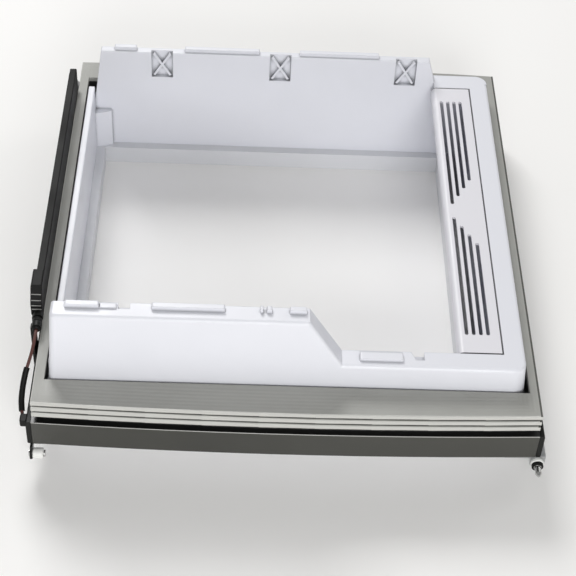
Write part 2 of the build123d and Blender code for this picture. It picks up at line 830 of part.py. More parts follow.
# Ends of the bar
with BuildPart() as mullion_far_cap:
    slab(bar_out, bar_in, bar_end, bar_far_y, bar_z, bar_top)
    fillet(mullion_far_cap.edges().filter_by(Axis.Y), bar_wall)
    peg_z = bar_top - pivot_rise
    round_bar(peg_r, spot(pivot_x, bar_far_y, peg_z), spot(pivot_x, bar_far_y + peg_length, peg_z))
    pin_end = spot(pivot_x, bar_far_y - far_pin_hold, pivot_z)
    round_bar(pin_r + pin_play, pin_end, spot(pivot_x, bar_far_y, pivot_z), Mode.SUBTRACT)
write(mullion_far_cap.part, "mullion_far_cap")

housing_z = bar_z + housing_foot
housing_top = bar_top + housing_foot
with BuildPart() as mullion_hinge_housing:
    slab(housing_out, bar_in, housing_near, bar_near_y, housing_z, housing_top)
    fillet(mullion_hinge_housing.edges().filter_by(Axis.Y), edge_round)
    with BuildSketch(side(housing_out)):
        add(
            outline(
                (housing_near, housing_top),
                (housing_near, housing_z + bar_width / 2),
                (housing_near + housing_length / 3, housing_top),
            )
        )
    extrude(amount=bar_in - housing_out, mode=Mode.SUBTRACT)
    pin_end = spot(pivot_x, housing_near + pin_hold, pivot_z)
    round_bar(pin_r + pin_play, spot(pivot_x, housing_near, pivot_z), pin_end, Mode.SUBTRACT)
write(mullion_hinge_housing.part, "mullion_hinge_housing")


def mullion_bracket(y0, y1, knuckles, screws):
    """A bracket on the left panel's outer face, up to the knuckles round the mullion's pivot."""
    shoulder = pivot_z - knuckle_r - knuckle_gap
    with BuildPart() as bracket:
        slab(bracket_out, -frame_width / 2, y0, y1, bracket_foot, shoulder)
        for k0, k1 in knuckles:
            start = spot(pivot_x, k0, pivot_z)
            end = spot(pivot_x, k1, pivot_z)
            slab(bracket_out, pivot_x, k0, k1, shoulder, pivot_z)
            round_bar(knuckle_r, start, end)
            knuckle_foot = pivot_z - knuckle_r
            slab(-frame_width / 2, pivot_x + knuckle_r, k0, k1, bracket_foot, knuckle_foot, Mode.SUBTRACT)
            round_bar(pin_r + pin_play, start, end, Mode.SUBTRACT)
        for y in screws:
            outer = spot(bracket_out, y, bracket_screw_z)
            round_bar(screw_r + fit_gap, outer, spot(-frame_width / 2, y, bracket_screw_z), Mode.SUBTRACT)
    return bracket.part


# Brackets, pins and spring of the mullion
near_knuckles = ((knuckle_1 - knuckle_length, knuckle_1), (bracket_near, knuckle_2))
far_knuckle_end = far_knuckle + far_knuckle_length
write(mullion_bracket(bracket_near, knuckle_1, near_knuckles, near_bracket_screws), "mullion_near_bracket")
far_knuckles = ((far_knuckle, far_knuckle_end),)
far_bracket = mullion_bracket(far_bracket_y, far_knuckle_end, far_knuckles, far_bracket_screws)
write(far_bracket, "mullion_far_bracket")

with BuildPart() as mullion_near_pin:
    pin_end = spot(pivot_x, housing_near + pin_hold - joint_gap, pivot_z)
    round_bar(pin_r, spot(pivot_x, bracket_near + lead_hold, pivot_z), pin_end)
write(mullion_near_pin.part, "mullion_near_pin")

with BuildPart() as mullion_far_pin:
    shoulder_end = spot(pivot_x, far_knuckle_end, pivot_z)
    round_bar(pin_r, spot(pivot_x, bar_far_y - far_pin_hold + joint_gap, pivot_z), shoulder_end)
    round_bar(pin_head_r, shoulder_end, spot(pivot_x, far_knuckle_end + pin_head, pivot_z))
write(mullion_far_pin.part, "mullion_far_pin")

with BuildPart() as mullion_spring:
    spring_y = spring_far - knuckle_gap
    spring_from = spot(pivot_x, spring_y, pivot_z)
    spring_to = spot(pivot_x, spring_y - spring_length, pivot_z)
    round_bar(spring_r + spring_wire / 2, spring_from, spring_to)
    round_bar(spring_r - spring_wire / 2, spring_from, spring_to, Mode.SUBTRACT)
write(mullion_spring.part, "mullion_spring")

with BuildPart() as bracket_screws:
    for y in near_bracket_screws + far_bracket_screws:
        add(screw(spot(bracket_out, y, bracket_screw_z), spot(-panel_in - fit_gap, y, bracket_screw_z)))
write(bracket_screws.part, "bracket_screws")

# Lead from the mullion's hinge to the plug on the left panel
def lead_spot(out, near, down):
    """A place on the lead, from its shares of the way out, nearer and down from the hinge to the plug."""
    x = pivot_x + out * (lead_x - pivot_x)
    y = bracket_near + near * (plug_y - plug_length / 2 - bracket_near)
    return spot(x, y, pivot_z + down * (plug_z - pivot_z))


route = (
    spot(pivot_x, bracket_near + lead_hold, pivot_z),
    lead_spot(0, 0.15, 0),
    lead_spot(0.22, 0.34, 0.17),
    lead_spot(0.71, 0.51, 0.42),
    lead_spot(0.95, 0.66, 0.67),
    lead_spot(1, 0.82, 0.89),
    spot(-frame_width / 2 - lead_end_stand, plug_y - plug_length / 2, plug_z),
)


def bend_radii(points):
    """Radius of each bend: as wide as its two straight runs allow."""
    radii = []
    for before, at, after in zip(points, points[1:], points[2:]):
        run_in = Vector(*at) - Vector(*before)
        run_out = Vector(*after) - Vector(*at)
        turn = radians(run_in.get_angle(run_out))
        radii.append(0.45 * min(run_in.length, run_out.length) / tan(turn / 2))
    return radii


lead_bends = bend_radii(route)
print("lead bend radii", [round(r, 1) for r in lead_bends])
with BuildPart() as mullion_lead:
    with BuildLine() as lead_path:
        FilletPolyline(*route, radius=lead_bends)
    with BuildSketch(Plane(lead_path.line @ 0, z_dir=lead_path.line % 0)):
        Circle(lead_d / 2)
    sweep()
write(mullion_lead.part, "mullion_lead")

sleeve_start = tuple((Vector(*route[2]) + Vector(*route[3])) * 0.5)
sleeve_end = tuple(Vector(*route[5]) * 0.4 + Vector(*route[6]) * 0.6)
with BuildPart() as lead_sleeve:
    with BuildLine() as sleeve_path:
        FilletPolyline(sleeve_start, route[3], route[4], route[5], sleeve_end, radius=lead_bends[2:])
    with BuildSketch(Plane(sleeve_path.line @ 0, z_dir=sleeve_path.line % 0)):
        RegularPolygon(sleeve_d / 2, sleeve_sides)
        RegularPolygon(lead_d / 2 + sleeve_play, sleeve_sides, major_radius=False, mode=Mode.SUBTRACT)
    sweep()
write(lead_sleeve.part, "lead_sleeve")

with BuildPart() as lead_grommet:
    seat = spot(pivot_x, bracket_near, pivot_z)
    mouth = spot(pivot_x, bracket_near - grommet_length, pivot_z)
    round_bar(grommet_r, seat, mouth)
    round_bar(lead_d / 2 + sleeve_play, seat, mouth, Mode.SUBTRACT)
    chamfer(lead_grommet.edges().group_by(Axis.Y)[0].sort_by(SortBy.LENGTH)[-1], grommet_length / 3)
write(lead_grommet.part, "lead_grommet")

with BuildPart() as lead_plug:
    plug_half = lead_d / 2 + plug_margin + sleeve_play
    plug_top = plug_z + plug_half + plug_margin
    plug_out = -frame_width / 2 - plug_proud
    slab(plug_out, -frame_width / 2, plug_y - plug_length, plug_y, plug_z - plug_half, plug_top)
    fillet(lead_plug.edges().group_by(Axis.X)[0], edge_round)
    round_bar(lead_d / 2 + sleeve_play, route[-1], route[-2], Mode.SUBTRACT)
write(lead_plug.part, "lead_plug")

# Support roller beside its ear
ear_in = roller_length / 2 + ear_gap
ear_out = ear_in + ear_wall
roller_start = spot(roller_x - roller_length / 2, roller_y, roller_z)
roller_end = spot(roller_x + roller_length / 2, roller_y, roller_z)
plate_z = collar_height - bracket_plate
with BuildPart() as roller_bracket:
    plate_end = roller_back + bracket_length
    slab(roller_x - ear_out, roller_x + ear_in, roller_back, plate_end, plate_z, collar_height)
    with BuildSketch(side(roller_x - ear_out)):
        with Locations((roller_y, roller_z)):
            Circle(ear_r)
        add(
            outline(
                (roller_y - ear_r, roller_z),
                (roller_y, roller_z - ear_r),
                (roller_back + bracket_length / 2, plate_z),
                (roller_back + bracket_length / 2, collar_height),
                (roller_y, collar_height),
            )
        )
        with Locations((roller_y, roller_z)):
            Circle(axle_r + fit_gap, mode=Mode.SUBTRACT)
    extrude(amount=ear_wall)
    for y in roller_screws_y:
        hole_top = spot(roller_x, y, collar_height)
        round_bar(screw_r + fit_gap, spot(roller_x, y, plate_z), hole_top, Mode.SUBTRACT)
write(roller_bracket.part, "roller_bracket")

with BuildPart() as support_roller:
    round_bar(roller_r, roller_start, roller_end)
    chamfer(support_roller.edges().filter_by(GeomType.CIRCLE), roller_edge)
    round_bar(axle_r + pin_play, roller_start, roller_end, Mode.SUBTRACT)
write(support_roller.part, "support_roller")

with BuildPart() as roller_axle:
    rivet = spot(roller_x - ear_out, roller_y, roller_z)
    tip = spot(roller_x + ear_in, roller_y, roller_z)
    round_bar(axle_r, rivet, tip)
    round_bar(axle_head_r, spot(roller_x - ear_out - axle_head, roller_y, roller_z), rivet)
    round_bar(axle_head_r, tip, spot(roller_x + ear_in + axle_head, roller_y, roller_z))
write(roller_axle.part, "roller_axle")


def hinge_bracket(end):
    """A plate under the flange with a round ear that carries a bush."""
    ear_0 = end * hinge_ear_y
    plate_y = sorted((ear_0, ear_0 - end * hinge_plate_length))
    with BuildPart() as bracket:
        slab(hinge_x - hinge_plate_in, hinge_x + hinge_ear_r, *plate_y, plate_z, collar_height)
        with BuildSketch(front(max(ear_0, ear_0 - end * hinge_ear))):
            with Locations((hinge_x, hinge_z)):
                Circle(hinge_ear_r)
            with Locations((hinge_x, (hinge_z + collar_height) / 2)):
                Rectangle(2 * hinge_ear_r, collar_height - hinge_z)
            with Locations((hinge_x, hinge_z)):
                Circle(hinge_bush_sleeve_r + fit_gap, mode=Mode.SUBTRACT)
        extrude(amount=hinge_ear)
        for x in hinge_screw_x:
            under = spot(x, end * hinge_screw_y, plate_z)
            round_bar(screw_r + fit_gap, under, spot(x, end * hinge_screw_y, collar_height), Mode.SUBTRACT)
    return bracket.part


def on_hinge(y):
    """A place on the hinge axis."""
    return spot(hinge_x, y, hinge_z)


# Lower hinge: bracket, bush, pin and cam collar
write(hinge_bracket(-1), "lower_hinge_bracket")
bush_y = -hinge_ear_y - hinge_bush_flange
bush_tail_y = -hinge_ear_y + hinge_ear + hinge_bush_tail
collar_end_y = bush_y - hinge_collar
with BuildPart() as lower_hinge_bush:
    round_bar(hinge_bush_r, on_hinge(-hinge_ear_y), on_hinge(bush_y))
    chamfer(lower_hinge_bush.edges().group_by(Axis.Y)[0], edge_round / 2)
    round_bar(hinge_bush_sleeve_r, on_hinge(-hinge_ear_y), on_hinge(bush_tail_y))
    round_bar(hinge_shank_r + fit_gap, on_hinge(bush_y), on_hinge(bush_tail_y), Mode.SUBTRACT)
write(lower_hinge_bush.part, "lower_hinge_bush")

with BuildPart() as hinge_pin:
    round_bar(hinge_shank_r, on_hinge(bush_tail_y), on_hinge(collar_end_y))
    round_bar(hinge_pin_r, on_hinge(collar_end_y), on_hinge(-hinge_tip_y + hinge_tip))
    round_bar(hinge_pin_head_r, on_hinge(bush_tail_y), on_hinge(bush_tail_y + hinge_pin_head))
    for y, r in ((-hinge_tip_y + hinge_tip, hinge_pin_r), (-hinge_tip_y, hinge_tip_r)):
        with BuildSketch(front(y)):
            with Locations((hinge_x, hinge_z)):
                Circle(r)
    loft()
write(hinge_pin.part, "hinge_pin")

with BuildPart() as hinge_cam_collar:
    round_bar(hinge_collar_r, on_hinge(bush_y), on_hinge(collar_end_y))
    chamfer(hinge_cam_collar.edges().group_by(Axis.Y)[0], hinge_collar_edge)
    round_bar(hinge_shank_r + fit_gap, on_hinge(bush_y), on_hinge(collar_end_y), Mode.SUBTRACT)
write(hinge_cam_collar.part, "hinge_cam_collar")

# Upper hinge: bracket and bush with an open bore
write(hinge_bracket(1), "upper_hinge_bracket")
upper_end = hinge_ear_y + hinge_bush_flange
bore_end = upper_end - hinge_bore_length
with BuildPart() as upper_hinge_bush:
    round_bar(hinge_bush_r, on_hinge(hinge_ear_y), on_hinge(upper_end))
    chamfer(upper_hinge_bush.edges().group_by(Axis.Y)[-1], edge_round / 2)
    round_bar(hinge_bush_sleeve_r, on_hinge(bore_end), on_hinge(hinge_ear_y))
    round_bar(hinge_bore_r, on_hinge(bore_end), on_hinge(upper_end), Mode.SUBTRACT)
write(upper_hinge_bush.part, "upper_hinge_bush")

# Screws of the hinge brackets and of the roller's bracket, from below
with BuildPart() as hinge_screws:
    for end in (-1, 1):
        for x in hinge_screw_x:
            add(screw(spot(x, end * hinge_screw_y, plate_z), spot(x, end * hinge_screw_y, cap_z)))
write(hinge_screws.part, "hinge_screws")

with BuildPart() as roller_screws:
    for y in roller_screws_y:
        add(screw(spot(roller_x, y, plate_z), spot(roller_x, y, cap_z)))
write(roller_screws.part, "roller_screws")
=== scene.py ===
"""Looks for the inner frame of a refrigerator door: finishes, spring, screws, lead and the studio."""

import logging
import math
from dataclasses import dataclass
from enum import Enum
from typing import Any, Optional, Sequence, Union

import bmesh
import bpy
from mathutils import Matrix, Vector
from mathutils.bvhtree import BVHTree


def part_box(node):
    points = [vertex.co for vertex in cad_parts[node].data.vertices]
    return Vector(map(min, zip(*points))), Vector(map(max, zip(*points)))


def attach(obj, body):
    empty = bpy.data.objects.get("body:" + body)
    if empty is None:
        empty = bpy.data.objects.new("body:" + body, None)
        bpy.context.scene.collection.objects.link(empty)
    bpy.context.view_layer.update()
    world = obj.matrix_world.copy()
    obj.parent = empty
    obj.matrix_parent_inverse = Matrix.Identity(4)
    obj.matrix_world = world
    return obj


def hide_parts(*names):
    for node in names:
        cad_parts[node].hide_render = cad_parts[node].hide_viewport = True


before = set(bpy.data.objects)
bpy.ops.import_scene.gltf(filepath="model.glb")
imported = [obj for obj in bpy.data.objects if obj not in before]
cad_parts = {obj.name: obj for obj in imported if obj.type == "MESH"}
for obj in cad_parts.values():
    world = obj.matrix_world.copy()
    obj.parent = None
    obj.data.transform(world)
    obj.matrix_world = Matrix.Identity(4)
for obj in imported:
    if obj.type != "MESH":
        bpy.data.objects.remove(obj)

LOG = logging.getLogger("door_frame")
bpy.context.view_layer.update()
MM = 0.001
SEAL_LOW, SEAL_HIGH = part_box("door_gasket")
SEAL_MIDDLE = (SEAL_LOW + SEAL_HIGH) / 2
COVER_LOW, COVER_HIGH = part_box("duct_vent_cover")

# Noise settings that every finish shares
PATCH_DETAIL = 3.0
PATCH_ROUGHNESS = 0.55
PATCH_LOW, PATCH_HIGH = 0.3, 0.7
GRAIN_ROUGHNESS = 0.5
SMOOTHEST = 0.02
EDGE_SAMPLES = 4

Point = tuple[float, float, float]
Link = Union[bpy.types.Node, bpy.types.NodeSocket]
Mark = tuple[Link, str]


class Make(Enum):
    """How a surface was made: the detail of its grain, and the grain's depth as a share of its size."""

    MOULDED = (2.0, 0.25)
    EXTRUDED = (1.0, 0.2)
    COATED = (3.0, 0.3)
    ROLLED = (1.5, 0.12)
    FOAMED = (4.0, 0.6)


def linear(colour: str) -> tuple[float, float, float, float]:
    """Turn an sRGB hex colour into linear light.

    Args:
        colour: six hex digits after a hash sign.

    Returns:
        Red, green, blue and an alpha of 1.
    """
    def channel(start: int) -> float:
        """One channel, from its two hex digits."""
        v = int(colour[start:start + 2], 16) / 255
        return v / 12.92 if v <= 0.04045 else ((v + 0.055) / 1.055) ** 2.4

    return (channel(1), channel(3), channel(5), 1.0)


def node(
    tree: bpy.types.NodeTree, kind: str, links: Optional[dict[str, Any]] = None, **settings: Any
) -> bpy.types.Node:
    """Add a node, set its properties and fill or link its inputs.

    Args:
        tree: the material's node tree.
        kind: the node's type name, without the ShaderNode that all of them start with.
        links: input name or number to a value, or to the node or socket that feeds it.
        settings: the node's own properties.

    Returns:
        The new node.
    """
    made = tree.nodes.new("ShaderNode" + kind)
    for name, value in settings.items():
        setattr(made, name, value)
    for name, value in (links or {}).items():
        socket = made.inputs[int(name)] if name.isdigit() else made.inputs[name]
        if isinstance(value, bpy.types.Node):
            value = value.outputs[0]
        if isinstance(value, bpy.types.NodeSocket):
            tree.links.new(value, socket)
        else:
            socket.default_value = value
    return made


@dataclass(frozen=True)
class Finish:
    """One real material and how its surface was made.

    The relief is a fine noise whose size comes from the real grain, and the shade varies softly over a larger
    patch, as handling, mould flow and light dust leave it. Names that end in mm are lengths in millimetres.
    """

    name: str
    colour: str
    shade: str
    make: Make
    roughness: float
    metallic: float = 0.0
    ior: float = 1.5
    grain_mm: float = 1.0
    relief: float = 0.05
    patch_mm: float = 60.0
    rough_swing: float = 0.06
    stretch: Point = (1.0, 1.0, 1.0)
    coat: float = 0.0
    edge_mm: float = 0.4

    def marks(self, tree: bpy.types.NodeTree, place: Link) -> list[Mark]:
        """The masks and colours that lie over the base colour, in order; a plain finish has none."""
        return []

    def carve(self, tree: bpy.types.NodeTree, place: Link, height: Link) -> Link:
        """Add large relief to the grain; a plain finish has none."""
        return height

    def material(self) -> bpy.types.Material:
        """Build the finish, or return it if it is built already.

        Returns:
            The node material.
        """
        known = bpy.data.materials.get(self.name)
        if known is not None:
            return known
        made = bpy.data.materials.new(self.name)
        made.use_nodes = True
        tree = made.node_tree
        tree.nodes.clear()
        detail, depth = self.make.value
        place = node(tree, "TexCoord").outputs["Object"]
        spread = node(tree, "Mapping", {"Vector": place, "Scale": self.stretch})
        patch = node(tree, "TexNoise", {
            "Vector": spread, "Scale": 1 / (self.patch_mm * MM),
            "Detail": PATCH_DETAIL, "Roughness": PATCH_ROUGHNESS}).outputs["Fac"]
        grain = node(tree, "TexNoise", {
            "Vector": spread, "Scale": 1 / (self.grain_mm * MM),
            "Detail": detail, "Roughness": GRAIN_ROUGHNESS}).outputs["Fac"]
        base: Any = linear(self.colour)
        for mask, colour in [(patch, self.shade), *self.marks(tree, place)]:
            links = {"0": mask, "6": base, "7": linear(colour)}
            base = node(tree, "Mix", links, data_type="RGBA").outputs[2]
        rough = node(tree, "MapRange", {
            "Value": patch, "From Min": PATCH_LOW, "From Max": PATCH_HIGH,
            "To Min": max(SMOOTHEST, self.roughness - self.rough_swing),
            "To Max": min(1.0, self.roughness + self.rough_swing)})
        soft = node(tree, "Bevel", {"Radius": self.edge_mm * MM}, samples=EDGE_SAMPLES)
        bump = node(tree, "Bump", {
            "Height": self.carve(tree, place, grain), "Strength": self.relief,
            "Distance": self.grain_mm * MM * depth, "Normal": soft})
        shader = node(tree, "BsdfPrincipled", {
            "Base Color": base, "Metallic": self.metallic, "Roughness": rough, "IOR": self.ior,
            "Coat Weight": self.coat, "Normal": bump})
        node(tree, "OutputMaterial", {"Surface": shader})
        return made


@dataclass(frozen=True)
class PaintedFinish(Finish):
    """A finish whose paint stops at a level, with a painted highlight along the paint's edge and painted
    shade above it.
    """

    groove_shade: str = "#000000"
    edge_highlight: str = "#808080"
    stop_mm: float = 0.0
    edge_highlight_mm: float = 1.0

    def marks(self, tree: bpy.types.NodeTree, place: Link) -> list[Mark]:
        """Paint a highlight along the paint's upper edge, and paint shade over everything above it.

        Args:
            tree: the material's node tree.
            place: the object's own coordinates.

        Returns:
            The painted highlight line and the painted shade on top.
        """
        level = node(tree, "SeparateXYZ", {"Vector": place}).outputs["Z"]
        found = []
        for start, colour in ((self.stop_mm - self.edge_highlight_mm, self.edge_highlight), (self.stop_mm, self.groove_shade)):
            above = node(tree, "Math", {"0": level, "1": start * MM}, operation="GREATER_THAN")
            found.append((above, colour))
        return found


@dataclass(frozen=True)
class CreviceShadeFinish(Finish):
    """A finish with painted shade in its pockets and inner corners."""

    painted_shade: str = "#808080"
    reach_mm: float = 5.0
    open_from: float = 0.8
    closed_from: float = 0.35
    thickest: float = 0.85
    samples: int = 8

    def marks(self, tree: bpy.types.NodeTree, place: Link) -> list[Mark]:
        """Paint shade where the surface closes in on itself.

        Args:
            tree: the material's node tree.
            place: the object's own coordinates.

        Returns:
            The painted shade.
        """
        open_share = node(tree, "AmbientOcclusion", {
            "Distance": self.reach_mm * MM}, samples=self.samples, only_local=True).outputs["AO"]
        closed = node(tree, "MapRange", {
            "Value": open_share, "From Min": self.open_from, "From Max": self.closed_from,
            "To Max": self.thickest})
        return [(closed, self.painted_shade)]


@dataclass(frozen=True)
class SeamShadeFinish(Finish):
    """The cover's finish, with painted shade in the seam along its far, near and outer edges."""

    painted_shade: str = "#404144"
    seam_mm: float = 0.6

    def marks(self, tree: bpy.types.NodeTree, place: Link) -> list[Mark]:
        """Paint shade in a thin line along three of the cover's edges.

        Args:
            tree: the material's node tree.
            place: the object's own coordinates.

        Returns:
            The painted shade along each of the edges.
        """
        axes = node(tree, "SeparateXYZ", {"Vector": place}).outputs
        found = []
        for axis, edge, side in (("X", COVER_HIGH.x, 1), ("Y", COVER_HIGH.y, 1), ("Y", COVER_LOW.y, -1)):
            gap = node(tree, "Math", {"0": edge, "1": axes[axis]}, operation="SUBTRACT")
            inward = node(tree, "Math", {"0": gap, "1": side}, operation="MULTIPLY")
            seam = node(tree, "Math", {"0": inward, "1": self.seam_mm * MM}, operation="LESS_THAN")
            found.append((seam, self.painted_shade))
        return found


@dataclass(frozen=True)
class RibbedFinish(Finish):
    """An extruded finish with fine ribs that run round the seal and meet in its mitred corners.

    Painted shade fills its folds, a painted highlight lines their rims, and the right edge's top is darker.
    """

    rib_mm: float = 4.0
    rib_depth: float = 1.0
    bow_mm: float = 5.0
    fold_shade: str = "#000000"
    fold_shade_mm: float = 2.0
    strip_mm: float = 5.0
    slack_mm: float = 0.1
    painted_highlight: str = "#ffffff"
    painted_highlight_mm: float = 1.0
    edge: str = "#000000"
    dark_edge_mm: float = 2.0
    upward_from: float = 0.5

    def inward(self, tree: bpy.types.NodeTree, place: Link) -> Link:
        """The distance in from the seal's outer edge, whose two ends are bowed.

        Args:
            tree: the material's node tree.
            place: the object's own coordinates.

        Returns:
            The distance in metres.
        """
        half = (SEAL_HIGH - SEAL_LOW) / 2
        axes = node(tree, "SeparateXYZ", {"Vector": place}).outputs
        off_x = node(tree, "Math", {"0": axes["X"], "1": SEAL_MIDDLE.x}, operation="SUBTRACT")
        off_y = node(tree, "Math", {"0": axes["Y"], "1": SEAL_MIDDLE.y}, operation="SUBTRACT")
        out_x = node(tree, "Math", {"0": off_x}, operation="ABSOLUTE")
        out_y = node(tree, "Math", {"0": off_y}, operation="ABSOLUTE")
        side = node(tree, "Math", {"0": half.x, "1": out_x}, operation="SUBTRACT")
        end = node(tree, "Math", {"0": half.y, "1": out_y}, operation="SUBTRACT")
        share = node(tree, "Math", {"0": off_x, "1": 1 / half.x}, operation="MULTIPLY")
        square = node(tree, "Math", {"0": share, "1": share}, operation="MULTIPLY")
        bow = node(tree, "Math", {"0": square, "1": self.bow_mm * MM}, operation="MULTIPLY")
        bowed = node(tree, "Math", {"0": end, "1": bow}, operation="SUBTRACT")
        return node(tree, "Math", {"0": side, "1": bowed}, operation="MINIMUM")

    def carve(self, tree: bpy.types.NodeTree, place: Link, height: Link) -> Link:
        """Add ribs at equal steps in from the seal's outer edge.

        Args:
            tree: the material's node tree.
            place: the object's own coordinates.
            height: the grain's height.

        Returns:
            The height with its ribs.
        """
        per_metre = 2 * math.pi / (self.rib_mm * MM)
        turns = node(tree, "Math", {"0": self.inward(tree, place), "1": per_metre}, operation="MULTIPLY")
        wave = node(tree, "Math", {"0": turns}, operation="SINE")
        ribs = node(tree, "Math", {"0": wave, "1": self.rib_depth}, operation="MULTIPLY")
        return node(tree, "Math", {"0": height, "1": ribs}, operation="ADD")

    def marks(self, tree: bpy.types.NodeTree, place: Link) -> list[Mark]:
        """Paint shade in the folds under the top strip and a highlight on the outer rims; darken the right
        edge.

        Args:
            tree: the material's node tree.
            place: the object's own coordinates.

        Returns:
            The painted shade in the folds, the painted highlight on the rims and the darker right edge.
        """
        inward = self.inward(tree, place)
        axes = node(tree, "SeparateXYZ", {"Vector": place}).outputs
        facing = node(tree, "NewGeometry").outputs["Normal"]
        rise = node(tree, "SeparateXYZ", {"Vector": facing}).outputs["Z"]
        strip_foot = SEAL_HIGH.z - (self.strip_mm - self.slack_mm) * MM
        edge_start = SEAL_HIGH.x - self.dark_edge_mm * MM
        under = node(tree, "Math", {"0": axes["Z"], "1": strip_foot}, operation="LESS_THAN")
        deep = node(tree, "Math", {"0": inward, "1": self.fold_shade_mm * MM}, operation="GREATER_THAN")
        dark = node(tree, "Math", {"0": under, "1": deep}, operation="MULTIPLY")
        rim = node(tree, "Math", {"0": inward, "1": self.painted_highlight_mm * MM}, operation="LESS_THAN")
        outer = node(tree, "Math", {"0": axes["X"], "1": edge_start}, operation="GREATER_THAN")
        upward = node(tree, "Math", {"0": rise, "1": self.upward_from}, operation="GREATER_THAN")
        edge = node(tree, "Math", {"0": outer, "1": upward}, operation="MULTIPLY")
        return [(dark, self.fold_shade), (rim, self.painted_highlight), (edge, self.edge)]


# Thermoformed HIPS: cool white, soft sheen, the faint orange peel of drawn sheet.
# Painted shade darkens its pockets and inner corners.
LINER = CreviceShadeFinish("hips_liner_white", "#e6e7ed", "#e0e1e7", Make.MOULDED, 0.36, grain_mm=2.2, relief=0.05,
                    edge_mm=0.8, painted_shade="#85878c")
# Injection moulded ABS: a shade warmer than the liner, spark eroded texture, drawn coarse so that it shows.
# Painted shade in a thin line along its far, near and outer seams.
COVER = SeamShadeFinish("abs_cover_white", "#e4e3e8", "#dfdee3", Make.MOULDED, 0.42, grain_mm=0.8, relief=0.08,
                   edge_mm=0.6)
# Injection moulded ABS of the front frame, plainer and less glossy.
FRONT = Finish("abs_front_white", "#dcdde0", "#d5d6d9", Make.MOULDED, 0.45, grain_mm=0.9, relief=0.08)
# Extruded soft PVC: light warm grey, a dry sheen, ribs 4 mm apart along the run, light dusting.
# Painted shade fills the folds, a painted highlight lines their rims, and the right edge's top is darker.
SEAL = RibbedFinish("soft_pvc_grey", "#a4a49f", "#9a9a95", Make.EXTRUDED, 0.5, grain_mm=0.7, relief=0.25,
                    patch_mm=40.0, rib_mm=4.0, rib_depth=1.5, fold_shade="#1d1d1b", painted_highlight="#c1c1bc",
                    edge="#4c4c47", dark_edge_mm=2.0)
# Painted ABS of the end caps: warm dark grey satin lacquer that stops at the groove, with a painted highlight
# along its top edge and near black painted shade in the groove above it.
CAP = PaintedFinish("painted_abs_grey", "#262622", "#45453f", Make.COATED, 0.34, grain_mm=0.6, relief=0.03,
                    patch_mm=220.0, coat=0.2, edge_mm=0.7, groove_shade="#141413", edge_highlight="#b4b4b0",
                    stop_mm=62.8, edge_highlight_mm=0.9)
# Powder coated steel of the side panels and brackets: near black, fine pebbled skin.
PANEL = Finish("powder_coat_black", "#151613", "#10110f", Make.COATED, 0.45, ior=1.32, grain_mm=0.6,
               relief=0.12)
# Moulded black ABS of the flip bar: low sheen, fine texture.
BAR = Finish("abs_black", "#11110f", "#0c0c0b", Make.MOULDED, 0.55, ior=1.28, grain_mm=0.6, relief=0.1,
             edge_mm=0.6)
# The same moulding with a painted highlight, pale grey, for the ribs.
RIB_HIGHLIGHT = Finish("abs_black_painted_highlight", "#a3a39f", "#8b8b87", Make.MOULDED, 0.5, grain_mm=0.6, relief=0.1,
                patch_mm=6.0, edge_mm=0.2)
# Black pre-coated steel strip of the flip bar's face: smoother than the moulding.
PLATE = Finish("coated_steel_black", "#131311", "#0e0e0d", Make.ROLLED, 0.4, ior=1.3, grain_mm=0.5,
               relief=0.03, stretch=(1.0, 0.05, 1.0))
# Phosphated spring wire: black, dry, slightly oily sheen.
PHOSPHATE = Finish("phosphated_steel_black", "#2b2b2a", "#222221", Make.ROLLED, 0.42, metallic=0.6,
                   grain_mm=0.4, relief=0.08, patch_mm=5.0, edge_mm=0.1)
# Zinc plated steel: grey metal, slightly cloudy.
ZINC = Finish("zinc_plated_steel", "#c9cacb", "#b9babb", Make.ROLLED, 0.34, metallic=1.0, grain_mm=0.5,
              relief=0.05, patch_mm=8.0, edge_mm=0.2)
# Bright nickel plated steel of pins and screws.
STEEL = Finish("nickel_plated_steel", "#cfcfcd", "#c2c2c0", Make.ROLLED, 0.22, metallic=1.0, grain_mm=0.4,
               relief=0.03, patch_mm=6.0, edge_mm=0.15)
# Acetal of bushes and roller: opaque white, waxy sheen.
ACETAL = Finish("acetal_white", "#efefec", "#e8e8e4", Make.MOULDED, 0.36, grain_mm=0.5, relief=0.04,
                patch_mm=10.0)
# Ferrite filled rubber of the seal's magnets.
MAGNET = Finish("ferrite_rubber", "#3a3734", "#322f2d", Make.EXTRUDED, 0.7, grain_mm=0.5, relief=0.1)
# Rigid polyurethane foam: cream, open cut cells of about 1.5 mm.
FOAM = Finish("polyurethane_foam", "#e3d6ad", "#d6c797", Make.FOAMED, 0.9, grain_mm=1.5, relief=0.5)
# Aluminium foil heater.
FOIL = Finish("aluminium_foil", "#d4d5d6", "#c8c9ca", Make.ROLLED, 0.28, metallic=1.0, grain_mm=1.0,
              relief=0.2, patch_mm=12.0, edge_mm=0.1)
# PVC wire insulation: dull reddish brown.
WIRE = Finish("pvc_wire_brown", "#5c352f", "#4d2c27", Make.EXTRUDED, 0.5, grain_mm=0.5, relief=0.05,
              patch_mm=8.0)
# Black PVC sleeving over the wire.
SLEEVE = Finish("pvc_sleeving_black", "#131312", "#0e0e0d", Make.EXTRUDED, 0.5, ior=1.3, grain_mm=0.6,
                relief=0.08)

